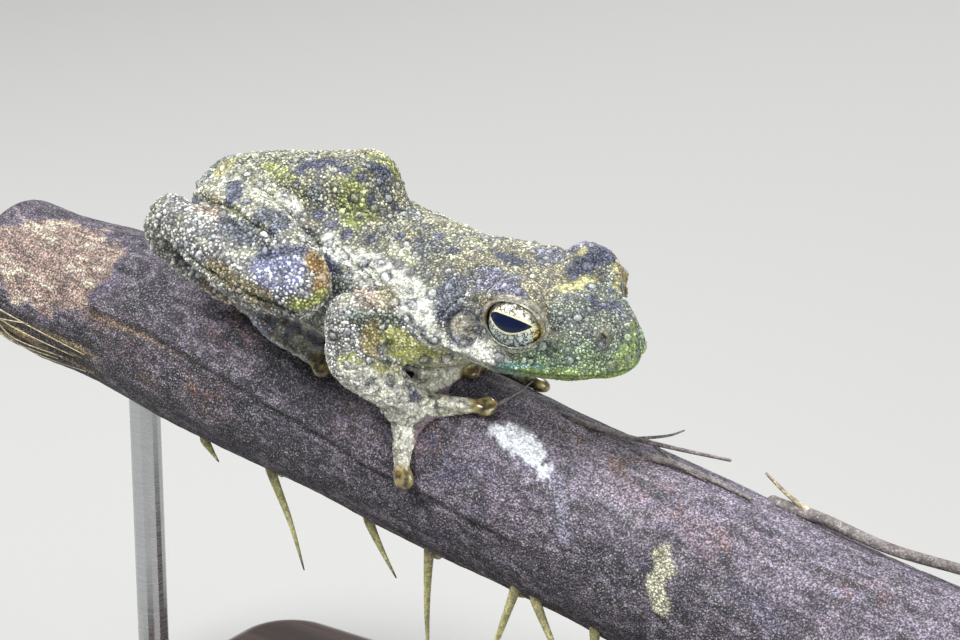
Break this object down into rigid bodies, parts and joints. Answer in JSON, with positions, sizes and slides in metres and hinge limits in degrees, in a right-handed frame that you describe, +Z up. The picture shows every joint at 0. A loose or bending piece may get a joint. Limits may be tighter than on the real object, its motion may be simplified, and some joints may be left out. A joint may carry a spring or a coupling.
{
  "type": "african foam nest tree frog model",
  "caption": "Still life-size tree frog gripping a short thorny cut branch, held by a plain display stand with rods on a flat base.",
  "frame": {"origin": "centre of the underside of the stand's base", "axes": "+Z up, +X towards the frog's snout, +Y to the frog's left"},
  "size_m": [0.1323, 0.062, 0.0781],
  "materials": {
    "skin_grey": "warty grey, white and yellow-green mottled skin",
    "skin_green": "finely granular green skin of the head",
    "skin_digit": "pale olive skin of hands and feet",
    "eardrum": "grey-brown speckled eardrum",
    "eye": "cream iris with dark veins and a dark horizontal pupil, wet",
    "bark": "purplish brown weathered stem",
    "rod": "satin",
    "base": "dark satin lacquer"
  },
  "bodies": {
    "root": {"head": "skin_green", "lower_jaw": "skin_green", "eye_left": "eye", "eye_right": "eye", "eardrum_left": "eardrum", "eardrum_right": "eardrum", "torso": "skin_grey", "rump": "skin_grey", "upper_arm_left": "skin_grey", "upper_arm_right": "skin_grey", "forearm_left": "skin_grey", "forearm_right": "skin_grey", "hand_left": "skin_digit", "hand_right": "skin_digit", "thigh_left": "skin_grey", "thigh_right": "skin_grey", "shank_left": "skin_grey", "shank_right": "skin_grey", "tarsus_left": "skin_grey", "tarsus_right": "skin_grey", "foot_left": "skin_digit", "foot_right": "skin_digit", "stand_perch": "bark", "stand_rod_back": "rod", "stand_rod_front": "rod", "stand_collar_back": "rod", "stand_collar_front": "rod", "stand_base": "base"}
  },
  "joints": []
}
